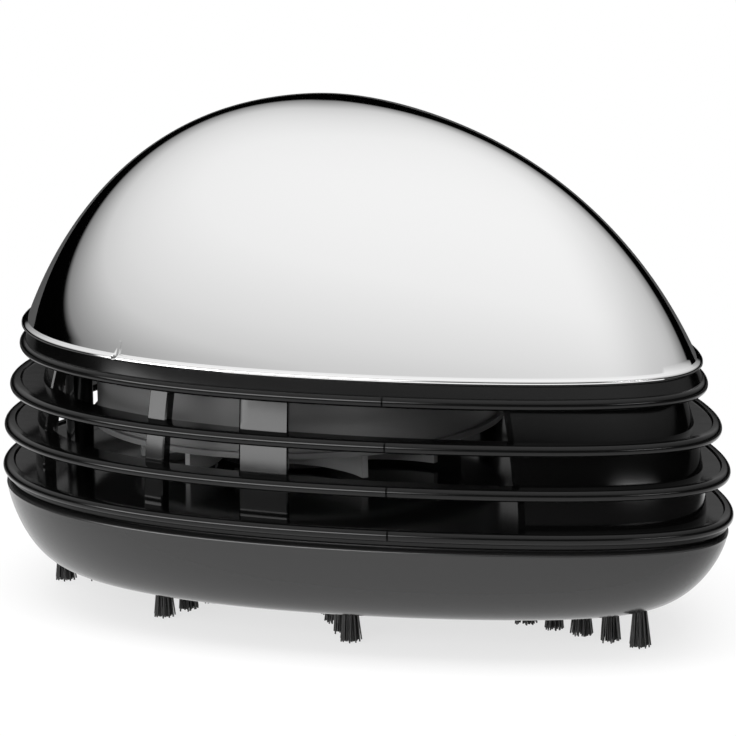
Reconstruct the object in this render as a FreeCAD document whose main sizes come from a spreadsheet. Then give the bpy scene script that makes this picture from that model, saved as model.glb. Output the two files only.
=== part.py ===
import FreeCAD, Part
import math
import os

import Sketcher
from FreeCAD import Placement, Rotation, Vector

# Desktop mini vacuum cleaner, in millimetres.
# The frame has +Z up and +X along the long axis towards the narrow end. The origin is on the surface
# that the brushes stand on, midway along the length. Every horizontal outline is one egg, wide at -X.

doc = FreeCAD.newDocument("desk_vacuum")
sheet = doc.addObject("Spreadsheet::Sheet", "Sizes")

SIZES = {
    # Egg outline at the waist, which is the level of the lowest ring
    "half_length": 58.0,
    "half_breadth": 40.25,
    "egg_taper": 0.38,
    "waist_height": 18.8,
    # Upper shell: its sections shrink about one upright axis, up to the crown
    "crown_height": 71.4,
    "crown_axis_x": -12.0,
    "crown_rise_power": 1.868,
    "crown_round_power": 2.257,
    # Bowl: its sections shrink about the fan axis, down to a flat underside
    "fan_axis_x": -17.0,
    "bowl_rim_height": 16.7,
    "bowl_rim_scale": 0.989,
    "bowl_base_height": 5.2,
    "bowl_base_scale": 0.807,
    "bowl_drop_power": 1.403,
    "bowl_round_power": 1.931,
    "bowl_wall": 1.8,
    "bowl_spigot_wall": 1.4,
    "bowl_spigot_height": 17.6,
    "bowl_ledge_thickness": 1.6,
    # Intake spout pressed into the bowl
    "spout_bore": 9.0,
    "spout_wall": 1.2,
    "spout_top": 13.4,
    "spout_flange": 2.2,
    "spout_flange_thickness": 0.6,
    # Brush tufts
    "tuft_root": 1.0,
    "tuft_tip": 1.5,
    "tuft_seat_depth": 1.2,
    "tuft_pitch": 5.0,
    "tuft_inner_reach": 16.0,
    "nose_row_reach": 62.0,
    "fore_row_angle": 38.0,
    "fore_row_reach": 36.4,
    "side_row_angle": 91.0,
    "side_row_reach": 29.0,
    "rear_row_angle": 138.0,
    "rear_row_reach": 34.6,
    "tail_row_reach": 31.5,
    # Vent housing
    "ring_pitch": 5.95,
    "bead_height": 1.6,
    "bead_bevel": 0.45,
    "bead_width": 1.5,
    "fin_thickness": 1.0,
    "fin_width": 5.5,
    "ledge_width": 8.0,
    "post_recess": 4.2,
    "post_wall": 1.6,
    "skirt_inset": 0.8,
    "skirt_wall": 1.8,
    "skirt_foot": 17.25,
    "shoulder_inset": 0.5,
    "shoulder_wall": 1.8,
    "shoulder_top": 39.4,
    "nose_wall_angle": 18.0,
    "fore_post_angle": 55.5,
    "fore_post_width": 7.0,
    "rib_post_angle": 80.5,
    "rib_post_width": 3.2,
    "rear_post_angle": 127.0,
    "rear_post_width": 9.0,
    "switch_panel_width": 15.0,
    "switch_panel_inset": 1.0,
    "switch_panel_wall": 1.4,
    "boss_radius": 2.0,
    "rear_boss_angle": 145.0,
    "inlet_radius": 12.5,
    "filter_collar_wall": 1.2,
    "filter_collar_depth": 2.4,
    # Filter
    "filter_radius": 15.8,
    "filter_frame_wall": 2.6,
    "filter_frame_height": 2.6,
    "filter_mesh_thickness": 0.3,
    "filter_rib_width": 1.2,
    # Gasket between bowl and housing
    "gasket_width": 1.2,
    # Fan
    "fan_radius": 24.0,
    "fan_plate_thickness": 0.8,
    "fan_floor_gap": 0.7,
    "fan_roof_gap": 0.6,
    "fan_eye_radius": 12.0,
    "fan_hub_radius": 3.6,
    "fan_hub_flare": 0.8,
    "fan_blade_thickness": 0.9,
    "fan_blade_arc": 17.0,
    "fan_blade_sweep": 40.0,
    "fan_blade_count": 11,
    # Motor housing drum
    "drum_radius": 29.2,
    "drum_wall": 1.5,
    "drum_floor": 24.8,
    "drum_floor_thickness": 1.5,
    "drum_flange_width": 0.8,
    "drum_flange_thickness": 0.8,
    "drum_boss_radius": 2.4,
    "drum_boss_reach": 25.6,
    # Motor
    "motor_width": 15.1,
    "motor_breadth": 20.1,
    "motor_can_length": 20.6,
    "motor_cap_length": 4.5,
    "motor_cap_step": 0.3,
    "tag_inset": 1.4,
    "tag_thickness": 0.5,
    "tag_width": 2.4,
    "tag_height": 3.6,
    "tag_hole_radius": 0.5,
    "tag_hole_height": 2.5,
    "motor_boss_radius": 3.05,
    "motor_boss_length": 1.3,
    "motor_shaft_radius": 1.0,
    "motor_socket_wall": 1.3,
    "motor_socket_height": 8.0,
    "bush_radius": 2.3,
    "bush_length": 2.4,
    "shaft_end_height": 20.5,
    "shaft_inner_length": 5.0,
    "shaft_end_room": 0.5,
    "running_clearance": 0.04,
    "seat_clearance": 0.1,
    "press_clearance": 0.01,
    "slide_clearance": 0.35,
    # Battery tray and cells
    "tray_thickness": 1.2,
    "tray_inset": 5.0,
    "cell_radius": 7.1,
    "cell_body_length": 49.2,
    "cell_nub_length": 1.2,
    "cell_nub_radius": 2.7,
    "cell_round": 0.5,
    "cell_motor_gap": 0.5,
    "cell_spring_room": 2.4,
    "contact_thickness": 0.35,
    "contact_width": 7.6,
    "contact_height": 9.0,
    "bridge_height": 2.4,
    "end_wall_thickness": 1.2,
    "end_wall_width": 8.0,
    "end_wall_height": 9.6,
    "saddle_thickness": 1.6,
    "saddle_height": 3.4,
    "saddle_relief": 0.6,
    "saddle_spread": 30.0,
    "leaf_height": 6.0,
    "leaf_thickness": 0.4,
    # Motor strap
    "strap_width": 5.6,
    "strap_thickness": 0.8,
    "strap_foot": 6.0,
    # Dome cover
    "dome_wall": 1.6,
    "dome_lip_height": 0.7,
    "dome_lip_reach": 0.5,
    "dome_lip_round": 0.28,
    "clip_wall": 1.2,
    "clip_ring_height": 2.4,
    "clip_tongue_depth": 1.6,
    "clip_tongue_width": 9.0,
    "clip_overlap": 0.6,
    "clip_front_angle": 35.0,
    "clip_side_angle": 90.0,
    "clip_rear_angle": 145.0,
    "cover_notch_width": 0.6,
    "cover_notch_depth": 1.2,
    "cover_notch_angle": 101.0,
    # Switch
    "switch_length": 8.6,
    "switch_height": 3.8,
    "switch_depth": 4.0,
    "switch_travel": 4.0,
    "switch_track_depth": 1.2,
    "lever_length": 2.4,
    "lever_height": 1.6,
    "knob_length": 5.2,
    "knob_height": 3.0,
    "knob_depth": 1.4,
    "knob_groove": 0.3,
    "knob_groove_count": 4,
    # Screws
    "screw_radius": 0.95,
    "screw_hole_radius": 1.0,
    "screw_length": 6.0,
    "screw_tip_room": 0.5,
    "screw_head_radius": 1.7,
    "screw_head_height": 1.2,
}

for row, (alias, value) in enumerate(SIZES.items(), start=1):
    sheet.set("A%d" % row, alias.replace("_", " "))
    sheet.set("B%d" % row, str(value))
    sheet.setAlias("B%d" % row, alias)
doc.recompute()


class Size:
    """A length of the sheet or a sum of such lengths, as the words of an expression and as its value."""

    def __init__(self, words, value):
        self.words = words
        self.value = value

    def __add__(self, other):
        other = as_size(other)
        return Size("(%s + %s)" % (self.words, other.words), self.value + other.value)

    def __sub__(self, other):
        other = as_size(other)
        return Size("(%s - %s)" % (self.words, other.words), self.value - other.value)

    def __mul__(self, factor):
        return Size("(%s * %s)" % (self.words, factor), self.value * factor)

    def __neg__(self):
        return self * -1


def as_size(value):
    return value if isinstance(value, Size) else Size(str(value), value)


def size(alias):
    return Size("Sizes." + alias, sheet.get(alias))


def number(alias):
    return sheet.get(alias)


# The egg outline and the levels it is drawn at

POLES = 16
BOWL_STEPS = 9
DOME_STEPS = 12


def egg_poles(half_length, half_breadth, centre_x, z):
    """Poles of a closed uniform cubic that passes through the egg at every knot."""
    first = (2 + math.cos(2 * math.pi / POLES)) / 3
    second = (2 + math.cos(4 * math.pi / POLES)) / 3
    poles = []
    for index in range(POLES):
        turn = 2 * math.pi * index / POLES
        side = math.sin(turn) / first - number("egg_taper") * math.sin(2 * turn) / (2 * second)
        poles.append(Vector(centre_x + half_length * math.cos(turn) / first, half_breadth * side, z))
    return poles


def egg_wire(outline):
    curve = Part.BSplineCurve()
    knots = list(range(POLES + 1))
    curve.buildFromPolesMultsKnots(egg_poles(*outline), [1] * (POLES + 1), knots, True, 3)
    return Part.Wire(curve.toShape())


def scaled_outline(scale, axis_x, inset, z):
    half_length = number("half_length") * scale - inset
    half_breadth = number("half_breadth") * scale - inset
    return (half_length, half_breadth, axis_x * (1 - scale), z)


def shell_outline(level, inset=0.0, z=None, wall=0.0):
    """Outline of the upper shell at a level; a wall lowers the crown and draws the sides in."""
    height = number("crown_height") - wall - number("waist_height")
    rise = (level - number("waist_height")) / height
    rise = min(1.0, max(0.0, rise))
    scale = (1 - rise ** number("crown_rise_power")) ** (1 / number("crown_round_power"))
    full = scale * (1 - wall / number("half_length"))
    return scaled_outline(full, number("crown_axis_x"), inset, level if z is None else z)


def bowl_outline(level, inset=0.0):
    depth = number("bowl_rim_height") - number("bowl_base_height")
    drop = min(1.0, max(0.0, (number("bowl_rim_height") - level) / depth))
    roundness = (1 - drop ** number("bowl_drop_power")) ** (1 / number("bowl_round_power"))
    narrow = number("bowl_base_scale")
    scale = narrow + (number("bowl_rim_scale") - narrow) * roundness
    return scaled_outline(scale, number("fan_axis_x"), inset, level)


def on_outline(outline, angle, inset=0.0):
    """Point of an outline that is seen from the fan axis at an angle in degrees."""
    half_length, half_breadth, centre_x, z = outline
    low = 0.0
    high = math.pi
    wanted = math.radians(abs(angle))
    for _ in range(50):
        turn = (low + high) / 2
        x = centre_x + (half_length - inset) * math.cos(turn)
        y = (half_breadth - inset) * math.sin(turn) * (1 - number("egg_taper") * math.cos(turn))
        if math.atan2(y, x - number("fan_axis_x")) < wanted:
            low = turn
        else:
            high = turn
    return Vector(x, math.copysign(y, angle), z)


# Solids made from egg outlines

def egg_loft(outlines, crown=None):
    sections = [egg_wire(outline) for outline in outlines]
    if crown is not None:
        sections.append(Part.Vertex(crown))
    return Part.makeLoft(sections, True, False)


def egg_plate(outline, height):
    face = Part.Face(egg_wire(outline))
    return face.extrude(Vector(0, 0, height))


def egg_band(outline, inner_inset, height):
    half_length, half_breadth, centre_x, z = outline
    inner = (half_length - inner_inset, half_breadth - inner_inset, centre_x, z)
    return egg_plate(outline, height).cut(egg_plate(inner, height))


def upright(radius, low, high, x, y):
    return Part.makeCylinder(radius, high - low, Vector(x, y, low))


def block(low, high):
    return Part.makeBox(high.x - low.x, high.y - low.y, high.z - low.z, low)


def wedge(angle, half_angle, low, high):
    """Sector about the fan axis that reaches past the shell."""
    reach = 2 * number("half_length")
    centre = Vector(number("fan_axis_x"), 0, low)
    corners = [centre]
    for side in (angle - half_angle, angle + half_angle):
        turn = math.radians(side)
        corners.append(centre + Vector(reach * math.cos(turn), reach * math.sin(turn), 0))
    face = Part.Face(Part.makePolygon(corners + [centre]))
    return face.extrude(Vector(0, 0, high - low))


def slab(angle, width, low, high):
    """Upright slab of a width that runs outwards from the fan axis at an angle."""
    reach = 2 * number("half_length")
    plate = Part.makeBox(reach, width, high - low, Vector(0, -width / 2, low))
    turned = Placement(Vector(number("fan_axis_x"), 0, 0), Rotation(Vector(0, 0, 1), angle))
    plate.Placement = turned.multiply(plate.Placement)
    return plate


def keep(name, shape):
    feature = doc.addObject("Part::Feature", name)
    feature.Shape = shape
    return feature


# Sketched bodies, bound to the sheet

def plane_of(body, role):
    return [item for item in body.Origin.OriginFeatures if item.Role == role][0]


def new_sketch(body, name, role, lift=None):
    sketch = body.newObject("Sketcher::SketchObject", name)
    sketch.AttachmentSupport = [(plane_of(body, role), "")]
    sketch.MapMode = "FlatFace"
    if lift is not None:
        sketch.AttachmentOffset = Placement(Vector(0, 0, lift.value), Rotation())
        sketch.setExpression("AttachmentOffset.Base.z", lift.words)
    return sketch


def hold(sketch, kind, where, length):
    index = sketch.addConstraint(Sketcher.Constraint(kind, *where, length.value))
    sketch.setExpression("Constraints[%d]" % index, length.words)


def add_polygon(sketch, corners):
    corners = [(as_size(x), as_size(y)) for x, y in corners]
    first = sketch.GeometryCount
    count = len(corners)
    points = [Vector(x.value, y.value, 0) for x, y in corners]
    for index in range(count):
        sketch.addGeometry(Part.LineSegment(points[index], points[(index + 1) % count]), False)
    for index in range(count):
        after = first + (index + 1) % count
        sketch.addConstraint(Sketcher.Constraint("Coincident", first + index, 2, after, 1))
    for index, (x, y) in enumerate(corners):
        hold(sketch, "DistanceX", (-1, 1, first + index, 1), x)
        hold(sketch, "DistanceY", (-1, 1, first + index, 1), y)


def add_rectangle(sketch, half_x, half_y):
    add_polygon(sketch, [(-half_x, -half_y), (half_x, -half_y), (half_x, half_y), (-half_x, half_y)])


def add_circle(sketch, x, y, radius):
    x = as_size(x)
    y = as_size(y)
    centre = Vector(x.value, y.value, 0)
    index = sketch.addGeometry(Part.Circle(centre, Vector(0, 0, 1), radius.value), False)
    hold(sketch, "DistanceX", (-1, 1, index, 3), x)
    hold(sketch, "DistanceY", (-1, 1, index, 3), y)
    hold(sketch, "Radius", (index,), radius)


def new_body(name, x=None, z=None):
    body = doc.addObject("PartDesign::Body", name)
    if x is not None:
        body.setExpression("Placement.Base.x", x.words)
    if z is not None:
        body.setExpression("Placement.Base.z", z.words)
    return body


def revolved(name, corners, x=None):
    """Body turned about its upright axis from corners of radius and height."""
    body = new_body(name, x)
    sketch = new_sketch(body, name + "_profile", "XZ_Plane")
    add_polygon(sketch, corners)
    turn = body.newObject("PartDesign::Revolution", name + "_turn")
    turn.Profile = sketch
    turn.ReferenceAxis = (sketch, ["V_Axis"])
    turn.Angle = 360
    sketch.Visibility = False
    return body


def pad(body, sketch, length):
    feature = body.newObject("PartDesign::Pad", sketch.Name + "_pad")
    feature.Profile = sketch
    feature.setExpression("Length", length.words)
    return feature


def pocket(body, sketch, length, upward):
    feature = body.newObject("PartDesign::Pocket", sketch.Name + "_pocket")
    feature.Profile = sketch
    feature.setExpression("Length", length.words)
    feature.Reversed = upward
    return feature


fan_x = size("fan_axis_x")
clear = number("seat_clearance")
slide = number("slide_clearance")
waist = number("waist_height")
ring_heights = [waist + index * number("ring_pitch") for index in (3, 2, 1, 0)]
ring_top, ring_low = ring_heights[0], ring_heights[3]
half_fin = number("fin_thickness") / 2
floor_top = ring_low + half_fin
floor_under = ring_low - half_fin
tray_seat = ring_top + half_fin
tray_top = tray_seat + number("tray_thickness")
shoulder_top = number("shoulder_top")
boss_angles = []
for boss_angle in (number("fore_post_angle"), number("rear_boss_angle")):
    boss_angles += [boss_angle, -boss_angle]


# Dust bowl: egg-shaped shell with a flat underside, a ledge and a spigot that enters the housing

def dust_bowl():
    rim = number("bowl_rim_height")
    base = number("bowl_base_height")
    wall = number("bowl_wall")
    turns = [math.pi / 2 * index / BOWL_STEPS for index in range(BOWL_STEPS + 1)]
    levels = [rim - (rim - base) * math.sin(turn) for turn in turns]
    outside = egg_loft([bowl_outline(level) for level in levels])
    inner_levels = [base + wall + (level - base) * (rim - base - wall) / (rim - base) for level in levels]
    inner_outlines = [bowl_outline(outer, wall)[:3] + (inner,) for outer, inner in zip(levels, inner_levels)]
    inside = egg_loft(inner_outlines)
    bowl = outside.cut(inside)
    spigot_inset = number("skirt_inset") + number("skirt_wall") + slide
    spigot_wall = number("bowl_spigot_wall")
    ledge_low = rim - number("bowl_ledge_thickness")
    spigot_outline = shell_outline(waist, spigot_inset, ledge_low)
    spigot = egg_band(spigot_outline, spigot_wall, number("bowl_spigot_height") - ledge_low)
    outer_edge = egg_plate(bowl_outline(rim)[:3] + (ledge_low,), number("bowl_ledge_thickness"))
    ledge_hole = shell_outline(waist, spigot_inset + spigot_wall, ledge_low)
    ledge = outer_edge.cut(egg_plate(ledge_hole, number("bowl_ledge_thickness"))).common(outside)
    bowl = bowl.fuse([ledge, spigot]).removeSplitter()
    hole = number("spout_bore") + number("spout_wall") + clear / 2
    return bowl.cut(upright(hole, base - 1, base + wall + 1, fan_x.value, 0))


def tuft_rows():
    nose = (0.0, number("nose_row_reach"))
    fore = (number("fore_row_angle"), number("fore_row_reach"))
    side = (number("side_row_angle"), number("side_row_reach"))
    rear = (number("rear_row_angle"), number("rear_row_reach"))
    tail = (180.0, number("tail_row_reach"))
    names = ["nose", "right_fore", "right_side", "right_rear", "tail", "left_rear", "left_side", "left_fore"]
    mirrored = [(-angle, reach) for angle, reach in (rear, side, fore)]
    return dict(zip(names, [nose, fore, side, rear, tail] + mirrored))


def tuft_places(angle, reach):
    turn = math.radians(angle)
    along = Vector(math.cos(turn), math.sin(turn), 0)
    count = int((reach - number("tuft_inner_reach")) / number("tuft_pitch")) + 1
    start = Vector(fan_x.value, 0, 0)
    return [start + along * (reach - index * number("tuft_pitch")) for index in range(count)]


def facet_ring(radius, place, height):
    """Eight-sided outline, for tufts and for shanks whose thread isn't drawn."""
    corners = []
    for index in range(9):
        turn = math.pi / 8 + math.pi * index / 4
        corners.append(Vector(place.x + radius * math.cos(turn), place.y + radius * math.sin(turn), height))
    return Part.makePolygon(corners)


def brush_row(places):
    base = number("bowl_base_height")
    seat = number("tuft_seat_depth") - clear
    root = number("tuft_root")
    tufts = []
    for place in places:
        flare = [facet_ring(number("tuft_tip"), place, 0), facet_ring(root, place, base)]
        stem = [flare[1], facet_ring(root, place, base + seat)]
        tuft = Part.makeLoft(flare, True, True).fuse(Part.makeLoft(stem, True, True))
        tufts.append(tuft)
    return Part.makeCompound(tufts)


all_rows = {name: tuft_places(*row) for name, row in tuft_rows().items()}
seat_radius = number("tuft_root") + clear / 2
seat_base = number("bowl_base_height")
seat_holes = []
for places in all_rows.values():
    for place in places:
        rings = [facet_ring(seat_radius, place, seat_base - 1),
                 facet_ring(seat_radius, place, seat_base + number("tuft_seat_depth"))]
        seat_holes.append(Part.makeLoft(rings, True, True))
keep("dust_bowl", dust_bowl().cut(seat_holes))
for name, places in all_rows.items():
    keep("brush_row_" + name, brush_row(places))

spout_inner = size("spout_bore")
spout_outer = spout_inner + size("spout_wall")
spout_rim = spout_outer + size("spout_flange")
bowl_base = size("bowl_base_height")
flange_low = bowl_base - size("spout_flange_thickness")
revolved("intake_spout", [
    (spout_inner, flange_low),
    (spout_rim, flange_low),
    (spout_rim, bowl_base),
    (spout_outer, bowl_base),
    (spout_outer, size("spout_top")),
    (spout_inner, size("spout_top")),
], fan_x)


# Vent housing: four beaded rings on posts, a closed nose, a skirt below and a shoulder above

def beaded_ring(height, width):
    """Flat ring with a thicker bevelled bead along its outer edge."""
    half_bead = number("bead_height") / 2
    bevel = number("bead_bevel")
    sections = [(-half_bead, bevel), (bevel - half_bead, 0), (half_bead - bevel, 0), (half_bead, bevel)]
    wires = [egg_wire(shell_outline(height, inset, height + rise)) for rise, inset in sections]
    disc = Part.makeLoft(wires, True, True)
    low = height - half_bead
    ring = disc.cut(egg_plate(shell_outline(height, width, low), 2 * half_bead))
    relief = half_bead - number("fin_thickness") / 2
    for start in (low, height + half_fin):
        ring = ring.cut(egg_plate(shell_outline(height, number("bead_width"), start), relief))
    return ring


def sloping_band(low, high, inset, wall):
    levels = [low, (low + high) / 2, high]
    outside = egg_loft([shell_outline(level, inset) for level in levels])
    inside = egg_loft([shell_outline(level, inset + wall) for level in levels])
    return outside.cut(inside)


def vent_housing():
    floor = beaded_ring(ring_heights[3], number("ledge_width"))
    middle = [beaded_ring(height, number("fin_width")) for height in ring_heights[1:3]]
    top = beaded_ring(ring_heights[0], number("ledge_width"))
    plate = egg_plate(shell_outline(ring_low, number("fin_width"), floor_under), number("fin_thickness"))
    band = sloping_band(floor_under, tray_seat, number("post_recess"), number("post_wall"))
    sectors = [wedge(0, number("nose_wall_angle"), floor_under, tray_seat)]
    for angle, width in ((number("fore_post_angle"), number("fore_post_width")),
                         (number("rib_post_angle"), number("rib_post_width")),
                         (number("rear_post_angle"), number("rear_post_width"))):
        sectors += [slab(side * angle, width, floor_under, tray_seat) for side in (1, -1)]
    posts = [band.common(sector) for sector in sectors]
    skirt_foot = number("skirt_foot")
    skirt_outline = shell_outline(waist, number("skirt_inset"), skirt_foot)
    skirt = egg_band(skirt_outline, number("skirt_wall"), ring_low - skirt_foot)
    shoulder = sloping_band(ring_top, shoulder_top, number("shoulder_inset"), number("shoulder_wall"))
    inlet = number("inlet_radius")
    filter_outer = number("filter_radius") + clear + number("filter_collar_wall")
    collar = upright(filter_outer, floor_under - number("filter_collar_depth"), floor_under, fan_x.value, 0)
    bosses = []
    holes = [upright(inlet, 0, floor_top + 1, fan_x.value, 0)]
    holes.append(upright(number("filter_radius") + clear / 2, 0, floor_under, fan_x.value, 0))
    for angle in boss_angles:
        place = boss_place(angle)
        bosses.append(upright(number("boss_radius"), floor_under, tray_seat, place.x, place.y))
        hole_low = tray_top - number("screw_length")
        holes.append(upright(number("screw_hole_radius"), hole_low, tray_seat + 1, place.x, place.y))
    solid = floor.fuse(middle + [top, plate, skirt, shoulder, collar] + posts + bosses)
    return solid.cut(holes).fuse(switch_panel()).cut(switch_clearance()).removeSplitter()


def boss_place(angle):
    inset = number("post_recess") + number("post_wall") + number("boss_radius") / 2
    return on_outline(shell_outline(ring_top), angle, inset)


# Slide switch at the wide end, between the two upper rings

switch_level = ring_heights[1] + half_fin + number("switch_height") / 2
panel_face = shell_outline(switch_level, number("switch_panel_inset"))
panel_x = panel_face[2] - panel_face[0]
panel_back = panel_x + number("switch_panel_wall")
rest_y = -number("switch_travel") / 2
track_half = (number("switch_travel") + number("lever_length")) / 2 + slide
track_rise = number("lever_height") / 2 + slide


def switch_clearance():
    """Room behind the panel for the body of the switch."""
    low = Vector(panel_back, -number("switch_length") / 2 - slide, ring_heights[1] + half_fin)
    high = Vector(panel_back + number("switch_depth") + 1, -low.y, ring_heights[0] - half_fin)
    return block(low, high)


def switch_panel():
    low = ring_heights[1]
    high = ring_heights[0]
    band = sloping_band(low, high, number("switch_panel_inset"), number("switch_panel_wall"))
    half_width = number("switch_panel_width") / 2
    window = block(Vector(-2 * number("half_length"), -half_width, low), Vector(0, half_width, high))
    panel = band.common(window)
    slot = block(Vector(panel_x - 2, -track_half, switch_level - track_rise),
                 Vector(panel_back + 2, track_half, switch_level + track_rise))
    return panel.cut(slot)


keep("vent_housing", vent_housing())

body_low = Vector(panel_back + clear * 2, -number("switch_length") / 2, ring_heights[1] + half_fin)
body_high = body_low + Vector(number("switch_depth"), number("switch_length"), number("switch_height"))
track_end = body_low.x + number("switch_track_depth")
track = block(Vector(body_low.x - 1, -track_half, switch_level - track_rise),
              Vector(track_end, track_half, switch_level + track_rise))
keep("switch_body", block(body_low, body_high).cut(track))

lever_low = Vector(panel_x - number("knob_depth") / 2, rest_y - number("lever_length") / 2,
                   switch_level - number("lever_height") / 2)
lever_high = Vector(track_end - slide, rest_y + number("lever_length") / 2,
                    switch_level + number("lever_height") / 2)
lever = block(lever_low, lever_high)
knob_back = panel_x - slide
knob_low = Vector(knob_back - number("knob_depth"), rest_y - number("knob_length") / 2,
                  switch_level - number("knob_height") / 2)
knob_high = Vector(knob_back, rest_y + number("knob_length") / 2, switch_level + number("knob_height") / 2)
knob = block(knob_low, knob_high)
groove_count = int(number("knob_groove_count"))
groove_pitch = number("knob_length") / (groove_count + 1)
for index in range(1, groove_count + 1):
    groove_y = knob_low.y + index * groove_pitch
    half = number("knob_groove") / 2
    knob = knob.cut(block(Vector(knob_low.x - 1, groove_y - half, knob_low.z - 1),
                          Vector(knob_low.x + number("knob_groove"), groove_y + half, knob_high.z + 1)))
keep("switch_knob", knob.cut(lever))
keep("switch_lever", lever)

gasket_low = number("bowl_spigot_height")
gasket_inset = number("skirt_inset") + number("skirt_wall") + slide
keep("bowl_gasket", egg_band(shell_outline(waist, gasket_inset, gasket_low),
                             number("gasket_width"), floor_under - gasket_low))


# Filter held in the collar under the housing floor

filter_outer = size("filter_radius")
filter_inner = filter_outer - size("filter_frame_wall")
filter_top = size("waist_height") - size("fin_thickness") * 0.5
filter_low = filter_top - size("filter_frame_height")
filter_body = revolved("filter_frame", [
    (filter_inner, filter_low),
    (filter_outer, filter_low),
    (filter_outer, filter_top),
    (filter_inner, filter_top),
], fan_x)
rib_half = size("filter_rib_width") * 0.5
rib_reach = filter_inner + size("filter_frame_wall") * 0.5
for rib_name, (along, across) in {"ribs_x": (rib_reach, rib_half), "ribs_y": (rib_half, rib_reach)}.items():
    rib_sketch = new_sketch(filter_body, rib_name, "XY_Plane", filter_low)
    add_rectangle(rib_sketch, along, across)
    pad(filter_body, rib_sketch, size("filter_rib_width"))

mesh_low = filter_low + size("filter_rib_width")
mesh_radius = filter_inner - size("seat_clearance") * 0.5
mesh_body = new_body("filter_mesh", fan_x)
mesh_sketch = new_sketch(mesh_body, "filter_mesh_disc", "XY_Plane", mesh_low)
add_circle(mesh_sketch, 0, 0, mesh_radius)
pad(mesh_body, mesh_sketch, size("filter_mesh_thickness"))


# Fan: backplate above, curved blades below, on the motor shaft

fan_low = size("waist_height") + size("fin_thickness") * 0.5 + size("fan_floor_gap")
fan_top = size("drum_floor") - size("fan_roof_gap")
plate_low = fan_top - size("fan_plate_thickness")
shaft_hole = size("motor_shaft_radius") + size("press_clearance")
impeller = revolved("impeller", [
    (shaft_hole, fan_low),
    (size("fan_hub_radius"), fan_low),
    (size("fan_hub_radius") + size("fan_hub_flare"), plate_low),
    (size("fan_radius"), plate_low),
    (size("fan_radius"), fan_top),
    (shaft_hole, fan_top),
], fan_x)


def add_blade(body):
    """One backward-leaning blade between two arcs, from the eye to the rim."""
    arc = number("fan_blade_arc")
    thick = number("fan_blade_thickness") / 2
    sweep = math.radians(number("fan_blade_sweep"))
    rim = number("fan_radius") - thick
    inner_end = Vector(number("fan_eye_radius"), 0, 0)
    outer_end = Vector(rim * math.cos(sweep), rim * math.sin(sweep), 0)
    chord = outer_end - inner_end
    across = Vector(chord.y, -chord.x, 0).normalize()
    rise = math.sqrt(arc * arc - chord.Length ** 2 / 4)
    middle = (inner_end + outer_end) * 0.5 + across * rise
    rays = [inner_end - middle, outer_end - middle]
    ends = sorted(math.atan2(ray.y, ray.x) % (2 * math.pi) for ray in rays)
    sketch = new_sketch(body, "blade", "XY_Plane", fan_low)
    up = Vector(0, 0, 1)
    wide = Part.ArcOfCircle(Part.Circle(middle, up, arc + thick), *ends)
    tight = Part.ArcOfCircle(Part.Circle(middle, up, arc - thick), *ends)
    sketch.addGeometry([wide, tight], False)
    sketch.addGeometry(Part.LineSegment(wide.EndPoint, tight.EndPoint), False)
    sketch.addGeometry(Part.LineSegment(wide.StartPoint, tight.StartPoint), False)
    for line, wide_end in ((2, 2), (3, 1)):
        sketch.addConstraint(Sketcher.Constraint("Coincident", line, 1, 0, wide_end))
        sketch.addConstraint(Sketcher.Constraint("Coincident", line, 2, 1, wide_end))
    feature = pad(body, sketch, plate_low - fan_low)
    pattern = body.newObject("PartDesign::PolarPattern", "blades")
    pattern.Originals = [feature]
    pattern.Axis = (sketch, ["N_Axis"])
    pattern.Angle = 360
    pattern.setExpression("Occurrences", "Sizes.fan_blade_count")
    body.Tip = pattern


add_blade(impeller)

shaft_low = size("shaft_end_height")
drum_floor_top = size("drum_floor") + size("drum_floor_thickness")
shaft_top = drum_floor_top + size("shaft_inner_length")
shaft_body = new_body("motor_shaft", fan_x)
shaft_sketch = new_sketch(shaft_body, "motor_shaft_section", "XY_Plane", shaft_low)
add_circle(shaft_sketch, 0, 0, size("motor_shaft_radius"))
pad(shaft_body, shaft_sketch, shaft_top - shaft_low)


# Drum: cup that hangs from the tray, with the motor in a socket on its floor

drum_outer = size("drum_radius")
drum_inner = drum_outer - size("drum_wall")
drum_low = size("drum_floor")
drum_top = size("waist_height") + size("ring_pitch") * 3 + size("fin_thickness") * 0.5
hole_radius = size("motor_boss_radius") + size("seat_clearance")
drum = revolved("fan_drum", [
    (hole_radius, drum_low),
    (drum_outer + size("drum_flange_width"), drum_low),
    (drum_outer + size("drum_flange_width"), drum_low + size("drum_flange_thickness")),
    (drum_outer, drum_low + size("drum_flange_thickness")),
    (drum_outer, drum_top),
    (drum_inner, drum_top),
    (drum_inner, drum_floor_top),
    (hole_radius, drum_floor_top),
], fan_x)
half_wide = size("motor_width") * 0.5 + size("seat_clearance")
half_broad = size("motor_breadth") * 0.5 + size("seat_clearance")
socket_x = half_wide + size("motor_socket_wall")
socket_y = half_broad + size("motor_socket_wall")
socket_sketch = new_sketch(drum, "motor_socket", "XY_Plane", drum_floor_top)
add_rectangle(socket_sketch, socket_x, socket_y)
add_rectangle(socket_sketch, half_wide, half_broad)
pad(drum, socket_sketch, size("motor_socket_height"))
boss_reach = size("drum_boss_reach")
drum_boss_centres = [(boss_reach, 0), (-boss_reach, 0), (0, boss_reach), (0, -boss_reach)]
drum_boss_sketch = new_sketch(drum, "drum_bosses", "XY_Plane", drum_low)
for x, y in drum_boss_centres:
    add_circle(drum_boss_sketch, x, y, size("drum_boss_radius"))
pad(drum, drum_boss_sketch, drum_top - drum_low)
screw_sketch = new_sketch(drum, "drum_screw_holes", "XY_Plane", drum_top)
for x, y in drum_boss_centres:
    add_circle(screw_sketch, x, y, size("screw_hole_radius"))
pocket(drum, screw_sketch, size("screw_length"), False)


# Motor: steel can with flats, plastic end cap with two tags, and a front bush

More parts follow.
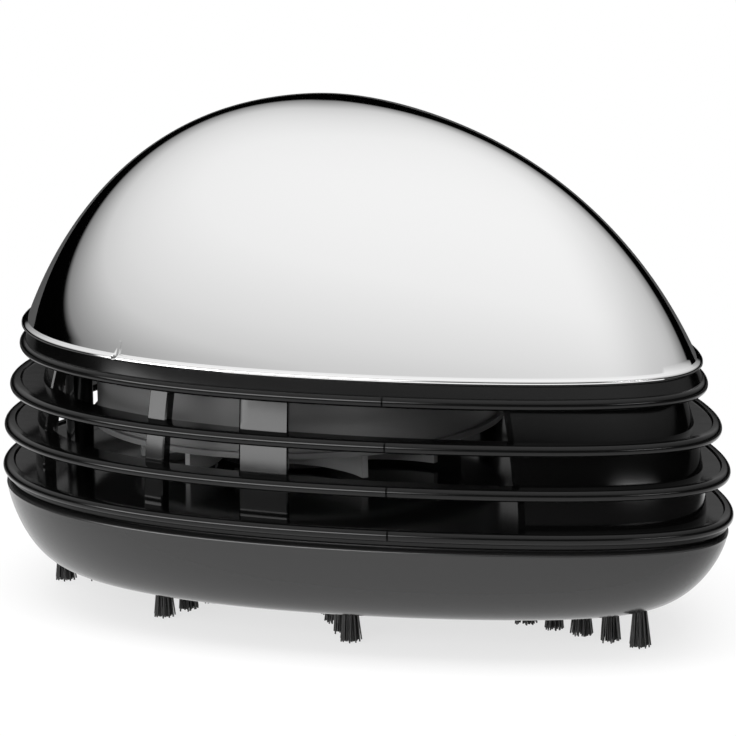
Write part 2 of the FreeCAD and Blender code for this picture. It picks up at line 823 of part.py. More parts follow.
def flatted(body, name, low, half_flat, radius):
    """Round section with two flats across X."""
    reach = math.sqrt(radius.value ** 2 - half_flat.value ** 2)
    angle = math.atan2(reach, half_flat.value)
    sketch = new_sketch(body, name, "XY_Plane", low)
    up = Vector(0, 0, 1)
    round_part = Part.Circle(Vector(0, 0, 0), up, radius.value)
    sketch.addGeometry(Part.ArcOfCircle(round_part, angle, math.pi - angle), False)
    sketch.addGeometry(Part.ArcOfCircle(round_part, math.pi + angle, -angle), False)
    for side in (-1, 1):
        flat = side * half_flat.value
        line = Part.LineSegment(Vector(flat, -side * reach, 0), Vector(flat, side * reach, 0))
        sketch.addGeometry(line, False)
    for here, there in (((0, 2), (2, 1)), ((2, 2), (1, 1)), ((1, 2), (3, 1)), ((3, 2), (0, 1))):
        sketch.addConstraint(Sketcher.Constraint("Coincident", *here, *there))
    for arc in (0, 1):
        sketch.addConstraint(Sketcher.Constraint("Coincident", arc, 3, -1, 1))
    hold(sketch, "Radius", (0,), radius)
    hold(sketch, "DistanceX", (-1, 1, 3, 1), half_flat)
    hold(sketch, "DistanceX", (-1, 1, 2, 1), -half_flat)
    sketch.addConstraint(Sketcher.Constraint("Vertical", 2))
    sketch.addConstraint(Sketcher.Constraint("Vertical", 3))
    return sketch


bush_hole = size("bush_radius") + size("press_clearance")
shaft_room = size("motor_shaft_radius") + size("running_clearance")
can_low = drum_floor_top
boss_low = can_low - size("motor_boss_length")
can = new_body("motor_can", fan_x)
can_sketch = flatted(can, "can_section", can_low, size("motor_width") * 0.5, size("motor_breadth") * 0.5)
pad(can, can_sketch, size("motor_can_length"))
nose_sketch = new_sketch(can, "can_nose", "XY_Plane", boss_low)
add_circle(nose_sketch, 0, 0, size("motor_boss_radius"))
pad(can, nose_sketch, size("motor_boss_length"))
bush_sketch = new_sketch(can, "bush_seat", "XY_Plane", boss_low)
add_circle(bush_sketch, 0, 0, bush_hole)
pocket(can, bush_sketch, size("bush_length"), True)
shaft_sketch = new_sketch(can, "shaft_room", "XY_Plane", boss_low)
add_circle(shaft_sketch, 0, 0, shaft_room)
room_length = size("motor_boss_length") + size("shaft_inner_length") + size("shaft_end_room")
pocket(can, shaft_sketch, room_length, True)

revolved("motor_bush", [
    (shaft_room, boss_low),
    (size("bush_radius"), boss_low),
    (size("bush_radius"), boss_low + size("bush_length")),
    (shaft_room, boss_low + size("bush_length")),
], fan_x)

cap_low = can_low + size("motor_can_length")
cap_top = cap_low + size("motor_cap_length")
cap = new_body("motor_end_cap", fan_x)
cap_flat = size("motor_width") * 0.5 - size("motor_cap_step")
cap_round = size("motor_breadth") * 0.5 - size("motor_cap_step")
cap_sketch = flatted(cap, "cap_section", cap_low, cap_flat, cap_round)
pad(cap, cap_sketch, size("motor_cap_length"))
tags = []
for side in (1, -1):
    tag_x = fan_x.value + side * (number("motor_width") / 2 - number("tag_inset"))
    low = Vector(tag_x - number("tag_thickness") / 2, -number("tag_width") / 2, cap_top.value)
    tag = block(low, low + Vector(number("tag_thickness"), number("tag_width"), number("tag_height")))
    hole_start = Vector(low.x - 1, 0, low.z + number("tag_hole_height"))
    across = Vector(1, 0, 0)
    hole = Part.makeCylinder(number("tag_hole_radius"), number("tag_thickness") + 2, hole_start, across)
    tags.append(tag.cut(hole))
keep("motor_tags", Part.makeCompound(tags))


# Battery tray: plate on the top ring, with saddles and end walls for two cells across the body

cell_axis_height = number("cell_radius") + tray_top + clear
cell_shift = number("motor_width") / 2 + number("cell_motor_gap") + number("cell_radius")
cell_rows = {"front": fan_x.value + cell_shift, "rear": fan_x.value - cell_shift}
cell_length = number("cell_body_length") + number("cell_nub_length")
bay_half = (cell_length + number("cell_spring_room")) / 2
wall_inner = bay_half + number("contact_thickness")
wall_outer = wall_inner + number("end_wall_thickness")
strap_reach = number("motor_breadth") / 2 + clear + number("strap_thickness")
strap_hole_y = strap_reach + number("strap_foot") / 2


def battery_tray():
    plate = egg_plate(shell_outline(tray_seat, number("tray_inset")), number("tray_thickness"))
    parts = []
    for x in cell_rows.values():
        for side in (1, -1):
            half = number("end_wall_width") / 2
            edge = sorted((side * wall_inner, side * wall_outer))
            parts.append(block(Vector(x - half, edge[0], tray_seat),
                               Vector(x + half, edge[1], tray_top + number("end_wall_height"))))
            saddle_y = side * number("saddle_spread") / 2
            width = number("cell_radius") - number("saddle_relief")
            saddle = block(Vector(x - width, saddle_y - number("saddle_thickness") / 2, tray_seat),
                           Vector(x + width, saddle_y + number("saddle_thickness") / 2,
                                  tray_top + number("saddle_height")))
            hollow = Part.makeCylinder(number("cell_radius") + clear / 2, 2 * bay_half,
                                       Vector(x, -bay_half, cell_axis_height), Vector(0, 1, 0))
            parts.append(saddle.cut(hollow))
    solid = plate.fuse(parts)
    half_x = number("motor_width") / 2 + clear
    half_y = number("motor_breadth") / 2 + clear
    holes = [block(Vector(fan_x.value - half_x, -half_y, tray_seat - 1),
                   Vector(fan_x.value + half_x, half_y, tray_top + 1))]
    for place in tray_screw_places() + drum_screw_places():
        holes.append(upright(number("screw_hole_radius"), tray_seat - 1, tray_top + 1, place.x, place.y))
    for side in (1, -1):
        holes.append(upright(number("screw_hole_radius"), tray_seat - 1, tray_top + 1,
                             fan_x.value, side * strap_hole_y))
    return solid.cut(holes).removeSplitter()


def tray_screw_places():
    return [boss_place(angle) for angle in boss_angles]


def drum_screw_places():
    places = [(as_size(x).value, as_size(y).value) for x, y in drum_boss_centres]
    return [Vector(fan_x.value + x, y, 0) for x, y in places]


keep("battery_tray", battery_tray())


def dry_cell(name, row, direction):
    """Cell with its nub towards +Y or -Y; its flat end rests on the spring."""
    radius = size("cell_radius")
    corner = size("cell_round")
    length = size("cell_body_length")
    total = length + size("cell_nub_length")
    body = revolved(name, [
        (0, 0),
        (radius - corner, 0),
        (radius, corner),
        (radius, length - corner),
        (radius - corner, length),
        (size("cell_nub_radius"), length),
        (size("cell_nub_radius"), total),
        (0, total),
    ])
    start = (bay_half - cell_length) * direction
    turn = Rotation(Vector(1, 0, 0), -90 * direction)
    body.Placement = Placement(Vector(cell_rows[row], start, cell_axis_height), turn)
    return body


dry_cell("cell_front", "front", 1)
dry_cell("cell_rear", "rear", -1)


def leaf_spring(row, direction):
    """Bent strip between the end plate and the flat end of a cell."""
    x = cell_rows[row]
    half = number("leaf_height") / 2
    bow = number("cell_spring_room") - number("contact_thickness")
    thick = number("leaf_thickness")
    seat = -direction * bay_half
    shape = [(-half, 0), (-thick, bow - thick), (thick, bow - thick), (half, 0),
             (half + thick, 0), (thick * 1.5, bow), (-thick * 1.5, bow), (-half - thick, 0)]
    corners = [Vector(x, seat + direction * away, cell_axis_height + up) for up, away in shape]
    strip = Part.Face(Part.makePolygon(corners + corners[:1]))
    width = number("contact_width") / 2
    leaf = strip.extrude(Vector(width, 0, 0))
    leaf.translate(Vector(-width / 2, 0, 0))
    return leaf


keep("leaf_springs", Part.makeCompound([leaf_spring("front", 1), leaf_spring("rear", -1)]))


def end_plate(x, side):
    half = number("contact_width") / 2
    edge = sorted((side * bay_half, side * wall_inner))
    low = cell_axis_height - number("contact_height") / 2
    return block(Vector(x - half, edge[0], low), Vector(x + half, edge[1], low + number("contact_height")))


front_x = cell_rows["front"]
rear_x = cell_rows["rear"]
bridge_low = cell_axis_height - number("contact_height") / 2
bridge_high = bridge_low + number("bridge_height")
bridge = block(Vector(rear_x, bay_half, bridge_low), Vector(front_x, wall_inner, bridge_high))
keep("bridge_contact", end_plate(front_x, 1).fuse([end_plate(rear_x, 1), bridge]).removeSplitter())
keep("front_contact", end_plate(front_x, -1))
keep("rear_contact", end_plate(rear_x, -1))


def motor_strap():
    """Steel strap over the end cap, with a screwed foot at each end."""
    half = number("strap_width") / 2
    thick = number("strap_thickness")
    inner = strap_reach - thick
    top = cap_top.value
    x = fan_x.value
    outside = block(Vector(x - half, -strap_reach, tray_top), Vector(x + half, strap_reach, top + thick))
    inside = block(Vector(x - half, -inner, tray_top - 1), Vector(x + half, inner, top))
    foot_end = strap_reach + number("strap_foot")
    feet = block(Vector(x - half, -foot_end, tray_top), Vector(x + half, foot_end, tray_top + thick))
    gap = block(Vector(x - half, -inner, tray_top - 1), Vector(x + half, inner, tray_top + thick + 1))
    strap = outside.cut(inside).fuse(feet.cut(gap))
    hole = number("screw_hole_radius")
    holes = [upright(hole, tray_top - 1, tray_top + thick + 1, x, side * strap_hole_y) for side in (1, -1)]
    return strap.cut(holes).removeSplitter()


keep("motor_strap", motor_strap())


def pan_screw(place, seat):
    shank_low = seat - number("screw_length") + number("screw_tip_room")
    head = upright(number("screw_head_radius"), seat, seat + number("screw_head_height"), place.x, place.y)
    rings = [facet_ring(number("screw_radius"), place, height) for height in (shank_low, seat)]
    return head.fuse(Part.makeLoft(rings, True, True))


strap_places = [Vector(fan_x.value, side * strap_hole_y, 0) for side in (1, -1)]
keep("tray_screws", Part.makeCompound([pan_screw(place, tray_top) for place in tray_screw_places()]))
keep("drum_screws", Part.makeCompound([pan_screw(place, tray_top) for place in drum_screw_places()]))
strap_seat = tray_top + number("strap_thickness")
keep("strap_screws", Part.makeCompound([pan_screw(place, strap_seat) for place in strap_places]))


# Dome cover: thin shell with a lip, and a ring of clip tongues inside it

def dome_levels(low, crown, steps):
    """Levels that crowd towards the crown, where the shell turns level."""
    height = crown - waist
    first = math.asin((low - waist) / height)
    span = math.pi / 2 - first
    return [waist + height * math.sin(first + span * index / steps) for index in range(steps)]


def dome_solid(low, wall):
    crown = number("crown_height") - wall
    outlines = [shell_outline(level, wall=wall) for level in dome_levels(low, crown, DOME_STEPS)]
    return egg_loft(outlines, Vector(number("crown_axis_x"), 0, crown))


def dome_cover():
    wall = number("dome_wall")
    outside = dome_solid(shoulder_top, 0.0)
    lip_outline = shell_outline(shoulder_top, -number("dome_lip_reach"))
    lip = egg_plate(lip_outline, number("dome_lip_height"))
    lip_rim = [edge for edge in lip.Edges if edge.Closed and edge.BoundBox.ZMin > shoulder_top + clear]
    lip = lip.makeFillet(number("dome_lip_round"), lip_rim[:1])
    inside = dome_solid(shoulder_top - 1, wall)
    notch = slab(-number("cover_notch_angle"), number("cover_notch_width"), shoulder_top,
                 shoulder_top + 2 * number("dome_lip_height"))
    edge_point = on_outline(shell_outline(shoulder_top), -number("cover_notch_angle"))
    depth = number("cover_notch_depth")
    bite = upright(depth, shoulder_top, shoulder_top + 2 * depth, edge_point.x, edge_point.y)
    shell = outside.cut(inside)
    return shell.fuse(lip.cut(inside)).cut(notch.common(bite))


def cover_clip_ring():
    wall = number("dome_wall")
    low = shoulder_top + number("dome_lip_height")
    high = low + number("clip_ring_height")
    levels = [low, (low + high) / 2, high]
    grip = clear / 2
    outside = egg_loft([shell_outline(level, grip, wall=wall) for level in levels])
    inside = egg_loft([shell_outline(level, grip + 2 * number("clip_wall"), wall=wall) for level in levels])
    ring = outside.cut(inside)
    tongue_low = shoulder_top - number("clip_tongue_depth")
    tongue_inset = number("shoulder_inset") + number("shoulder_wall") + slide
    tongue_band = egg_band(shell_outline(shoulder_top, tongue_inset, tongue_low), number("clip_wall"),
                           low + number("clip_overlap") - tongue_low)
    tongues = []
    for angle in (number("clip_front_angle"), number("clip_side_angle"), number("clip_rear_angle")):
        for turn in (angle, -angle):
            tongues.append(tongue_band.common(slab(turn, number("clip_tongue_width"), tongue_low, high)))
    return ring.fuse(tongues).removeSplitter()


keep("dome_cover", dome_cover())
keep("cover_clip_ring", cover_clip_ring())

doc.recompute()

os.makedirs("parts", exist_ok=True)
exported = [item for item in doc.Objects if item.TypeId in ("PartDesign::Body", "Part::Feature")]
for item in doc.Objects:
    if "Invalid" in item.State or "Error" in item.State:
        raise RuntimeError("%s did not build: %s" % (item.Name, item.State))
for item in exported:
    shape = item.Shape
    if shape.isNull() or not shape.isValid() or shape.Volume <= 0:
        raise RuntimeError("%s has no valid solid" % item.Label)
    print("%-22s %2d solids %9.1f mm3" % (item.Label, len(shape.Solids), shape.Volume))
for item in exported:
    item.Shape.exportStep("parts/%s.step" % item.Label)
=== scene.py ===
import math

import bmesh
import bpy
import numpy as np
from mathutils import Matrix, Vector


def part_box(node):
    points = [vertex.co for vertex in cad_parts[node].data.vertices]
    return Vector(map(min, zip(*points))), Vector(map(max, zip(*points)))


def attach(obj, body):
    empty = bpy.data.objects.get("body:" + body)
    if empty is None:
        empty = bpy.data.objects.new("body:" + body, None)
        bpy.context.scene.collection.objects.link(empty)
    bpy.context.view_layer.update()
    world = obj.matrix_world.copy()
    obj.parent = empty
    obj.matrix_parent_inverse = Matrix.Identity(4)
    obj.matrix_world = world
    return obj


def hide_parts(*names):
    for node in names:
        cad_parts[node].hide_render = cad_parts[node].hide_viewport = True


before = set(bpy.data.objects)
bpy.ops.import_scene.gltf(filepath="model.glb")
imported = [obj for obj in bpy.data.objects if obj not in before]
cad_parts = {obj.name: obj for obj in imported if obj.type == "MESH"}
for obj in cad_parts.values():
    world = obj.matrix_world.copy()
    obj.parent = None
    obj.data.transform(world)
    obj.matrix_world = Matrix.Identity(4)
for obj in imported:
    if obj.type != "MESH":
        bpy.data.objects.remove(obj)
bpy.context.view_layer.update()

scene = bpy.context.scene


def placed(name, data):
    """Object made from the data and linked to the scene."""
    made = bpy.data.objects.new(name, data)
    scene.collection.objects.link(made)
    return made


# Camera: a long lens at the photograph's angle, a little above the rings and towards the narrow end.
# The small shift and roll are the photograph's own framing of the vacuum.
view_azimuth = math.radians(40.321)
view_elevation = math.radians(12.455)
view_roll = math.radians(-0.602)
view_distance = 0.6279
view_target = Vector((0.0, 0.0, 0.03164))
focal_pixels = 4396.0
image_pixels = 736
centre_pixel = (387.58, 380.85)

right = Vector((math.cos(view_azimuth), math.sin(view_azimuth), 0))
back = Vector((math.sin(view_azimuth) * math.cos(view_elevation),
               -math.cos(view_azimuth) * math.cos(view_elevation), math.sin(view_elevation)))
up = back.cross(right)
rolled_right = right * math.cos(view_roll) + up * math.sin(view_roll)
rolled_up = back.cross(rolled_right)
camera_data = bpy.data.cameras.new("view")
camera_data.sensor_width = 36.0
camera_data.lens = camera_data.sensor_width * focal_pixels / image_pixels
camera_data.shift_x = (image_pixels / 2 - centre_pixel[0]) / image_pixels
camera_data.shift_y = (centre_pixel[1] - image_pixels / 2) / image_pixels
camera_data.clip_start = 0.01
camera = placed("view", camera_data)
camera.matrix_world = Matrix.Translation(view_target + back * view_distance) @ Matrix(
    (rolled_right, rolled_up, back)).transposed().to_4x4()
scene.camera = camera
scene.view_settings.view_transform = "Standard"


# Materials are node graphs. This class wraps one socket, so that shader maths reads as an expression,
# and Material.node adds any other node from its type, its settings and its inputs.
class Wire:
    def __init__(self, tree, socket):
        self.tree = tree
        self.socket = socket

    def maths(self, operation, other=None, swap=False):
        made = self.tree.nodes.new("ShaderNodeMath")
        made.operation = operation
        operands = [self, other] if not swap else [other, self]
        for index, operand in enumerate(operands):
            if isinstance(operand, Wire):
                self.tree.links.new(operand.socket, made.inputs[index])
            elif operand is not None:
                made.inputs[index].default_value = operand
        return Wire(self.tree, made.outputs[0])

    def __add__(self, other):
        return self.maths("ADD", other)

    __radd__ = __add__

    def __sub__(self, other):
        return self.maths("SUBTRACT", other)

    def __rsub__(self, other):
        return self.maths("SUBTRACT", other, swap=True)

    def __mul__(self, other):
        return self.maths("MULTIPLY", other)

    __rmul__ = __mul__

    def __gt__(self, other):
        return self.maths("GREATER_THAN", other)

    def __lt__(self, other):
        return self.maths("LESS_THAN", other)


class Material:
    def __init__(self, name, world=False):
        holder = bpy.data.worlds.new(name) if world else bpy.data.materials.new(name)
        holder.use_nodes = True
        self.holder = holder
        self.tree = holder.node_tree
        self.shader = None if world else self.tree.nodes["Principled BSDF"]

    def node(self, kind, settings=None, output=0, **inputs):
        made = self.tree.nodes.new(kind)
        for key, value in (settings or {}).items():
            if key == "stops":
                ramp = made.color_ramp
                ramp.elements[0].position, ramp.elements[0].color = value[0]
                ramp.elements[1].position, ramp.elements[1].color = value[-1]
                for position, colour in value[1:-1]:
                    ramp.elements.new(position).color = colour
            else:
                setattr(made, key, value)
        for key, value in inputs.items():
            self.feed(made.inputs[key.replace("_", " ")], value)
        return Wire(self.tree, made.outputs[output])

    def feed(self, socket, value):
        if isinstance(value, Wire):
            self.tree.links.new(value.socket, socket)
        else:
            socket.default_value = value

    def set(self, **inputs):
        for key, value in inputs.items():
            self.feed(self.shader.inputs[key.replace("_", " ")], value)

    def place(self):
        return self.node("ShaderNodeTexCoord", output="Object")

    def noise(self, scale, detail):
        return self.node("ShaderNodeTexNoise", Vector=self.place(), Scale=scale, Detail=detail)

    def bump(self, height, strength, distance=0.0001):
        return self.node("ShaderNodeBump", Height=height, Strength=strength, Distance=distance)

    def between(self, value, first, last):
        """Rises smoothly from 0 at the first value to 1 at the last."""
        return self.node("ShaderNodeMapRange", {"interpolation_type": "SMOOTHSTEP"}, Value=value,
                         From_Min=first, From_Max=last)

    def mix(self, factor, first, second):
        made = self.tree.nodes.new("ShaderNodeMix")
        made.data_type = "RGBA"
        for index, value in ((0, factor), (6, first), (7, second)):
            self.feed(made.inputs[index], value)
        return Wire(self.tree, made.outputs[2])


def grey(value):
    return (value, value, value, 1.0)


# Studio: a white table, a surround that brightens with height, two soft boxes, and two strips of light
# low beside the camera. The surround is dark near the horizon, which gives the dome its black edges.
# The table looks plain white to the camera, and in reflections it turns dark away from the vacuum.
table_white = Material("table_white")
to_camera = table_white.node("ShaderNodeLightPath", output="Is Camera Ray")
mirrored = table_white.node("ShaderNodeLightPath", output="Is Glossy Ray")
spread = table_white.node("ShaderNodeVectorMath", {"operation": "LENGTH"}, output="Value",
                          Vector=table_white.place())
fading = table_white.between(spread, 0.03, 0.10)
outlying = table_white.between(spread, 0.075, 0.15)
table_white.set(Base_Color=table_white.mix(mirrored * outlying, grey(0.93), grey(0.02)), Roughness=0.6)
glow = table_white.node("ShaderNodeEmission", Color=grey(1.0), Strength=1.0)
glow_share = to_camera * (fading * 0.3 + 0.7) + mirrored * (1.0 - outlying)
blend = table_white.node("ShaderNodeMixShader", Fac=glow_share)
for index, shader in ((1, table_white.shader.outputs[0]), (2, glow.socket)):
    table_white.tree.links.new(shader, blend.socket.node.inputs[index])
table_white.tree.links.new(blend.socket, table_white.tree.nodes["Material Output"].inputs[0])
table_reach = 6
table_level = -0.0002
table_corners = [(table_reach * x, table_reach * y, table_level)
                 for x, y in ((-1, -1), (1, -1), (1, 1), (-1, 1))]
table_mesh = bpy.data.meshes.new("table_top")
table_mesh.from_pydata(table_corners, [], [(0, 1, 2, 3)])
table_mesh.materials.append(table_white.holder)
table_top = placed("table_top", table_mesh)

surround = Material("surround", world=True)
heading = surround.node("ShaderNodeTexCoord", output="Generated")
height = surround.node("ShaderNodeSeparateXYZ", output="Z", Vector=heading)


def heading_along(direction):
    made = surround.node("ShaderNodeVectorMath", {"operation": "DOT_PRODUCT"}, output="Value", Vector=heading)
    made.socket.node.inputs[1].default_value = direction
    return made


aside = heading_along((math.cos(view_azimuth), math.sin(view_azimuth), 0.0))
facing = heading_along((math.sin(view_azimuth), -math.cos(view_azimuth), 0.0))
dark = 0.0004
sky_tones = [(0.0, dark), (0.20, dark), (0.235, 0.24), (0.31, 0.39), (0.43, 0.65), (0.55, 0.76),
             (0.66, 0.83), (0.80, 0.91), (1.0, 0.96)]
sky_stops = [(rise, grey(value)) for rise, value in sky_tones]
by_height = surround.node("ShaderNodeValToRGB", {"stops": sky_stops}, Fac=height)
right_shade = surround.between(aside, 0.25, 0.80) * 0.22
backdrop_tone = surround.mix(right_shade, by_height, grey(dark))
left_strip = (surround.between(aside, -0.30, -0.50) * surround.between(facing, 0.0, 0.3)
              * surround.between(height, 0.27, 0.20))
right_strip = (surround.between(aside, 0.20, 0.40) * surround.between(aside, 0.80, 0.55)
               * surround.between(facing, 0.4, 0.6) * surround.between(height, 0.07, 0.03))
left_strength = 7.0
right_strength = 9.0
with_right = surround.mix(right_strip, backdrop_tone, grey(right_strength))
with_strips = surround.mix(left_strip, with_right, grey(left_strength))
seen_directly = surround.node("ShaderNodeLightPath", output="Is Camera Ray")
sky_colour = surround.mix(seen_directly, with_strips, grey(1.0))
sky = surround.tree.nodes["Background"]
surround.tree.links.new(sky_colour.socket, sky.inputs[0])
sky.inputs[1].default_value = 1.0
scene.world = surround.holder


def soft_box(name, place, width, height, power):
    """Lamp that lights the plastic but isn't itself mirrored in the dome."""
    data = bpy.data.lights.new(name, "AREA")
    data.shape = "RECTANGLE"
    data.size = width
    data.size_y = height
    data.energy = power
    lamp = placed(name, data)
    lamp.location = place
    lamp.rotation_euler = (view_target - Vector(place)).to_track_quat("-Z", "Y").to_euler()
    lamp.visible_glossy = False


soft_box("overhead_box", (0.10, -0.15, 0.75), 0.7, 0.5, 5.0)
soft_box("front_box", (0.35, -0.75, 0.35), 0.5, 0.3, 2.5)


# Dome cover: a thin moulded shell with bright vacuum plating, which lifts off upwards.
# Every level outline is the same egg, wide at the back, drawn in as the shell rises to its crown.
# A fine lip with a small notch runs round its foot, where it meets the black housing.
dome_low, dome_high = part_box("dome_cover")
half_length = 0.058
half_breadth = 0.04025
egg_taper = 0.38
waist = 0.0188
crown_axis = -0.012
fan_axis = -0.017
rise_power = 1.868
round_power = 2.257
crown = dome_high.z
dome_foot = dome_low.z


def egg_turns(count, extra=()):
    """Angles round the egg, spread evenly along its length, with any extra ones put in."""
    fine = np.linspace(0, 2 * math.pi, 8001)
    x = half_length * np.cos(fine)
    y = half_breadth * np.sin(fine) * (1 - egg_taper * np.cos(fine))
    walked = np.concatenate([[0], np.cumsum(np.hypot(np.diff(x), np.diff(y)))])
    turns = np.interp(np.linspace(0, walked[-1], count, endpoint=False), walked, fine)
    return np.unique(np.concatenate([turns, extra]))


def shell_scale(level, wall=0.0):
    rise = np.clip((level - waist) / (crown - wall - waist), 0, 1)
    return (1 - rise ** rise_power) ** (1 / round_power) * (1 - wall / half_length)


def outline(scale, axis, inset, turns):
    """Points of one egg outline, drawn in by an inset."""
    x = axis * (1 - scale) + (half_length * scale - inset) * np.cos(turns)
    y = (half_breadth * scale - inset) * np.sin(turns) * (1 - egg_taper * np.cos(turns))
    return x, y


def at_height(x, y, height):
    """Row of points at one height."""
    return np.stack([x, y, np.full_like(x, height)], -1)


def shell_point(level, inset, turns, height=None):
    x, y = outline(shell_scale(level), crown_axis, inset, turns)
    return at_height(x, y, level if height is None else height)


def round_row(radius, height, turns):
    """Circle of points about the fan axis."""
    return at_height(fan_axis + radius * np.cos(turns), radius * np.sin(turns), height)


def cut_row(outer, inner):
    """Closed outline of a wall from the points of its outer and its inner side."""
    return np.concatenate([outer, inner[::-1]])


def shaded(name, mesh, sharp):
    """Piece with a smooth surface, except at edges that turn by more than the given angle."""
    mesh.shade_smooth()
    mesh.set_sharp_from_angle(angle=math.radians(sharp))
    return placed(name, mesh)


def skin(name, rows, closed=False, cap_low=False, cap_high=False, sharp=35.0):
    """Mesh through rows of points; closed joins the last row to the first."""
    count = len(rows[0])
    points = np.concatenate(rows)
    total = len(rows)
    faces = []
    for row in range(total if closed else total - 1):
        here = row * count
        there = ((row + 1) % total) * count
        for index in range(count):
            after = (index + 1) % count
            faces.append((here + index, here + after, there + after, there + index))
    if cap_low:
        faces.append(tuple(range(count))[::-1])
    if cap_high:
        faces.append(tuple(range((total - 1) * count, total * count)))
    mesh = bpy.data.meshes.new(name)
    mesh.from_pydata([tuple(point) for point in points], [], faces)
    work = bmesh.new()
    work.from_mesh(mesh)
    bmesh.ops.remove_doubles(work, verts=work.verts, dist=1e-7)
    bmesh.ops.dissolve_degenerate(work, edges=work.edges, dist=1e-8)
    bmesh.ops.recalc_face_normals(work, faces=work.faces)
    work.to_mesh(mesh)
    work.free()
    return shaded(name, mesh, sharp)


def joined(name, parts, sharp=35.0):
    """One mesh out of several, each of which stays a closed form."""
    work = bmesh.new()
    for part in parts:
        work.from_mesh(part.data)
        bpy.data.objects.remove(part)
    mesh = bpy.data.meshes.new(name)
    work.to_mesh(mesh)
    work.free()
    return shaded(name, mesh, sharp)


def dress(piece, material, slot, body, *nodes):
    piece.data.materials.clear()
    piece.data.materials.append(material.holder)
    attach(piece, body)
    if nodes:
        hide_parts(*nodes)
    return piece


plating = Material("bright_plating")
film = plating.noise(55.0, 3.0)
plating.set(Base_Color=grey(0.93), Metallic=1.0, Roughness=0.035 + film * 0.02)

dome_wall = 0.0016
lip_height = 0.0007
lip_reach = 0.0005
lip_ease = 0.00015
notch_turn = 4.433
notch_half = 0.006
notch_edge = 0.009
notch_depth = 0.0002
notch_sides = [notch_turn + offset for offset in (-notch_edge, -notch_half, notch_half, notch_edge)]
dome_turns = egg_turns(400, notch_sides)
notch_margin = 0.0002
notched = (np.abs(dome_turns - notch_turn) < notch_half + notch_margin).astype(float)


def dome_row(level, wall=0.0):
    x, y = outline(shell_scale(level, wall), crown_axis, 0, dome_turns)
    return at_height(x, y, level)


def dome_levels(low, top, steps):
    """Levels that lie closer together towards the crown."""
    first = math.asin((low - waist) / (top - waist))
    rises = [first + (math.pi / 2 - first) * step / steps for step in range(steps)]
    return [waist + (top - waist) * math.sin(rise) for rise in rises]


def lip_row(reach, rise):
    drawn = reach - notched * (reach + notch_depth)
    x, y = outline(shell_scale(dome_foot), crown_axis, -drawn, dome_turns)
    return at_height(x, y, dome_foot + rise)


def crown_row(level):
    return np.tile([[crown_axis, 0, level]], (len(dome_turns), 1))


inner_crown = crown - dome_wall
lip_section = [(lip_reach - lip_ease, 0), (lip_reach, 0.00012), (lip_reach, lip_height - 0.0003),
               (lip_reach - lip_ease, lip_height - 0.0001), (0.0001, lip_height)]
rows = [crown_row(inner_crown)]
rows += [dome_row(level, dome_wall) for level in dome_levels(dome_foot, inner_crown, 40)][::-1]
rows += [lip_row(reach, rise) for reach, rise in lip_section]
rows += [dome_row(level) for level in dome_levels(dome_foot + lip_height + 0.0001, crown, 70)]
rows += [crown_row(crown)]
shell = skin("shell", rows, sharp=50.0)


def across_outline(level, inset, angle, offsets):
    """Points where lines parallel to a ray from the fan axis cross an outline."""
    axis_room = 0.004
    turns = np.linspace(0, 2 * math.pi, 4001)
    x, y = outline(shell_scale(level), crown_axis, inset, turns)
    ray = math.radians(angle)
    along = (x - fan_axis) * math.cos(ray) + y * math.sin(ray)
    aside = -(x - fan_axis) * math.sin(ray) + y * math.cos(ray)
    ahead = along > axis_room
    order = np.argsort(aside[ahead])
    reach = np.interp(offsets, aside[ahead][order], along[ahead][order])
    return at_height(fan_axis + reach * math.cos(ray) - offsets * math.sin(ray),
                     reach * math.sin(ray) + offsets * math.cos(ray), level)


rib_angle = -88.0
rib_low = 0.0400
rib_high = 0.0419
rib_stand = 0.00015
rib_root = 0.0003
rib_offsets = np.array([-0.0002, 0.0002])
rib_rows = []
for level in np.linspace(rib_low, rib_high, 4):
    sides = [across_outline(level, inset, rib_angle, rib_offsets) for inset in (-rib_stand, rib_root)]
    rib_rows.append(cut_row(*sides))
rib = skin("rib", rib_rows, cap_low=True, cap_high=True, sharp=60.0)
dress(joined("dome_shell", [shell, rib], 50.0), plating, "chrome", "cover", "dome_cover")


# Vent housing: one gloss black moulding. Four flat rings, each with a rolled bead along its edge,
# stand on posts round the fan, with a closed wall at the narrow end. A fine parting line of the
# mould crosses the beads on both sides.
gloss_black = Material("gloss_black_plastic")
wisps = gloss_black.noise(140.0, 4.0)
orange_peel = gloss_black.noise(420.0, 1.0)
gloss_black.set(Base_Color=grey(0.002), Roughness=0.09 + wisps * 0.06, Specular_IOR_Level=0.34,
                Normal=gloss_black.bump(orange_peel, 0.05))

ring_pitch = 0.00595
ring_levels = [waist + ring_pitch * step for step in range(4)]
bead_half = 0.0008
bead_width = 0.0015
bead_bulge = 0.00075
bead_ease = 0.00015
bead_step = 0.00012
fin_half = 0.0005
fin_width = 0.0055
fin_ease = 0.0002
ledge_width = 0.008
parting_turn = 5.163
parting_turns = [parting_turn, 2 * math.pi - parting_turn]
parting_half = 0.0022
parting_depth = 0.0002
line_turns = [turn + offset for turn in parting_turns for offset in (-parting_half, 0, parting_half)]
ring_turns = egg_turns(420, line_turns)
on_line = np.zeros_like(ring_turns)
for turn in parting_turns:
    on_line[np.abs(ring_turns - turn) < parting_half / 2] = 1.0


